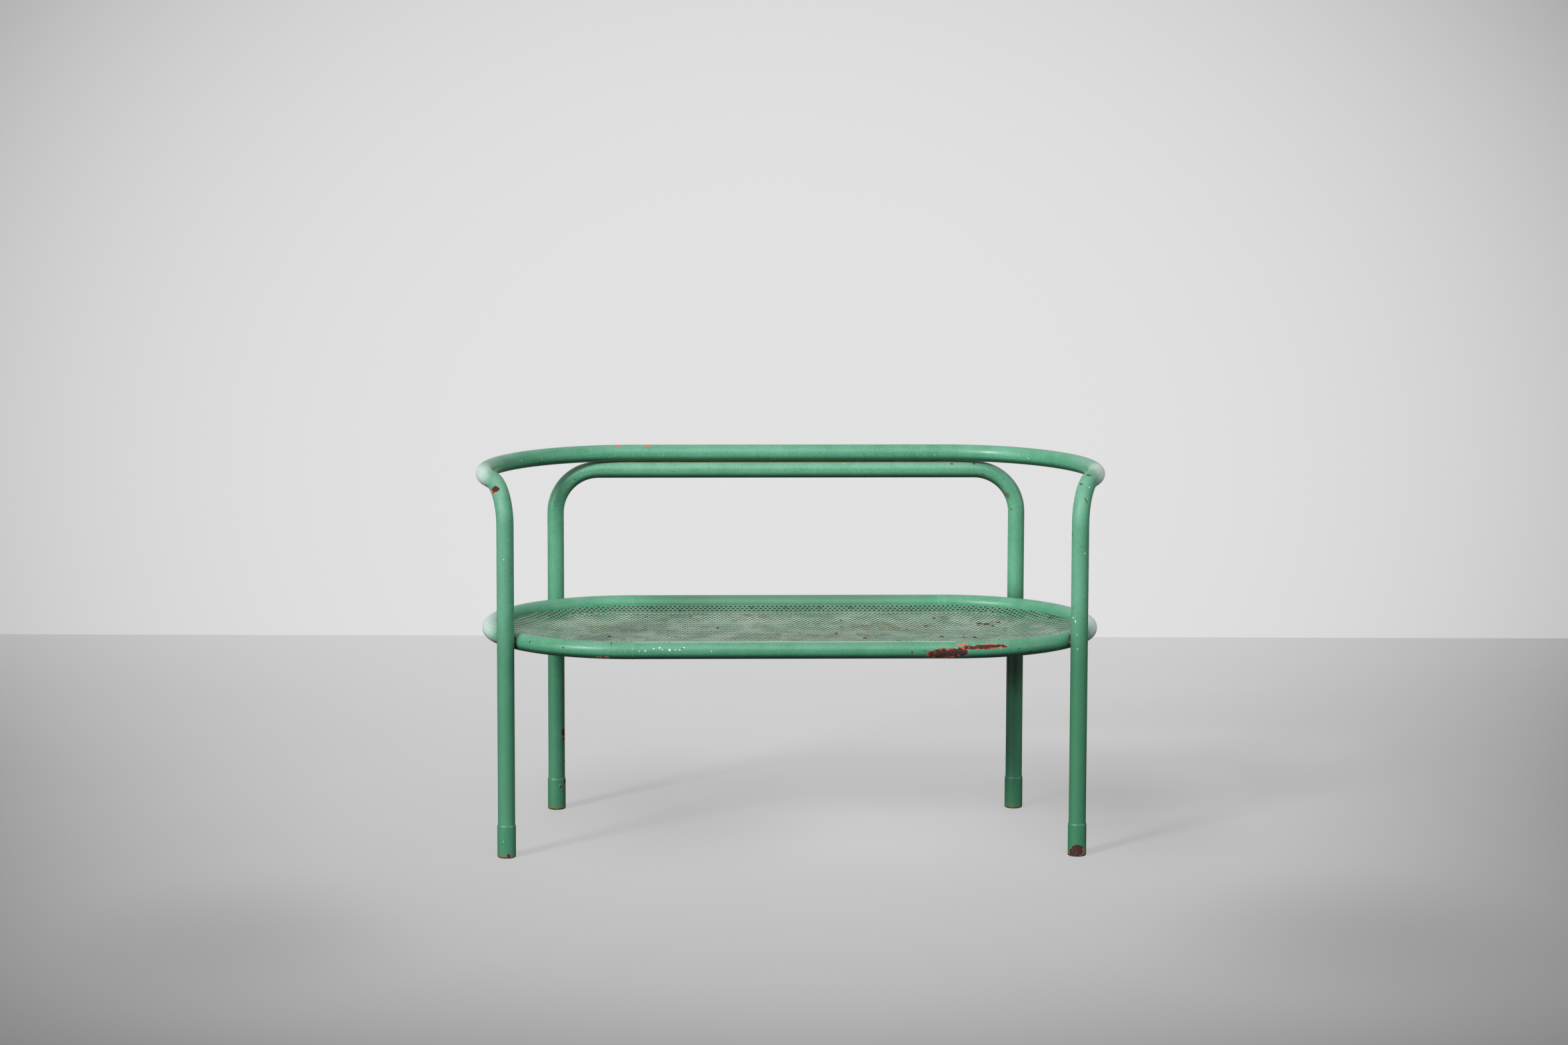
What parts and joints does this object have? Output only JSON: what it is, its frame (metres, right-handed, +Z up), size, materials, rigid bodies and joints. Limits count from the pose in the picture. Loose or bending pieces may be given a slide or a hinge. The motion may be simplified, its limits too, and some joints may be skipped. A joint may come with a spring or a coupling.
{
  "type": "tubular steel bench",
  "caption": "Low-backed garden bench of painted steel tube, with a long oval ring that carries a dished perforated seat, and a rail that sweeps round into the arms.",
  "frame": {"origin": "on the floor under the middle of the seat ring, which is the middle of the footprint", "axes": "+Z up, +X along the bench towards the right arm as seen from the front, +Y from the front towards the back"},
  "size_m": [1.2384, 0.5942, 0.7503],
  "materials": {
    "frame_paint": "satin",
    "seat_paint": "satin",
    "weld_metal": "matte",
    "bare_steel": "satin"
  },
  "bodies": {
    "root": {"back_rail": "frame_paint", "front_leg_left": "frame_paint", "front_leg_right": "frame_paint", "rear_leg_hoop": "frame_paint", "seat_ring_front_tube": "frame_paint", "seat_ring_rear_tube": "frame_paint", "seat_ring_left_bend": "frame_paint", "seat_ring_right_bend": "frame_paint", "seat_sheet": "seat_paint", "foot_cap_front_left": "frame_paint", "foot_cap_front_right": "frame_paint", "foot_cap_rear_left": "frame_paint", "foot_cap_rear_right": "frame_paint", "arm_spigot_left": "bare_steel", "arm_spigot_right": "bare_steel", "ring_sleeve_front_left": "bare_steel", "ring_sleeve_front_right": "bare_steel", "ring_sleeve_rear_left": "bare_steel", "ring_sleeve_rear_right": "bare_steel", "arm_weld_left": "frame_paint", "arm_weld_right": "frame_paint", "ring_weld_front_left": "frame_paint", "ring_weld_front_right": "frame_paint", "ring_weld_rear_left": "frame_paint", "ring_weld_rear_right": "frame_paint", "leg_weld_front_left": "weld_metal", "leg_weld_front_right": "weld_metal", "leg_weld_rear_left": "weld_metal", "leg_weld_rear_right": "weld_metal", "rail_weld": "weld_metal", "seat_tack_welds": "weld_metal"}
  },
  "joints": []
}
